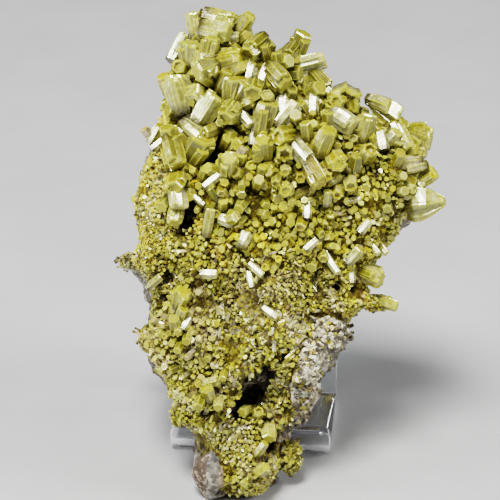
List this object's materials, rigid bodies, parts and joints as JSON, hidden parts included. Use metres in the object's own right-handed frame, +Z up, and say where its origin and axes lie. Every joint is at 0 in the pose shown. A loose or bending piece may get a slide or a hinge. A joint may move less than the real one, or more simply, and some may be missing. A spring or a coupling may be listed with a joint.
{
  "type": "pyromorphite specimen on an easel",
  "caption": "Hand-sized plate of olive-green pyromorphite barrels on vein rock, leaning on a bent clear acrylic easel.",
  "frame": {"origin": "middle of the easel's flat underside, on the surface that the object stands on", "axes": "+Z up, the crystal face towards -Y, +X to the right as seen from the front"},
  "size_m": [0.0645, 0.0524, 0.0886],
  "materials": {
    "vein_rock": "rough broken rock, rust-brown and grey",
    "pyromorphite": "glossy to greasy crystal faces, olive to yellow-green",
    "clear_acrylic": "clear, polished edges"
  },
  "bodies": {
    "root": {"matrix": "vein_rock", "pyromorphite_crystals": "pyromorphite", "acrylic_easel": "clear_acrylic"}
  },
  "joints": []
}
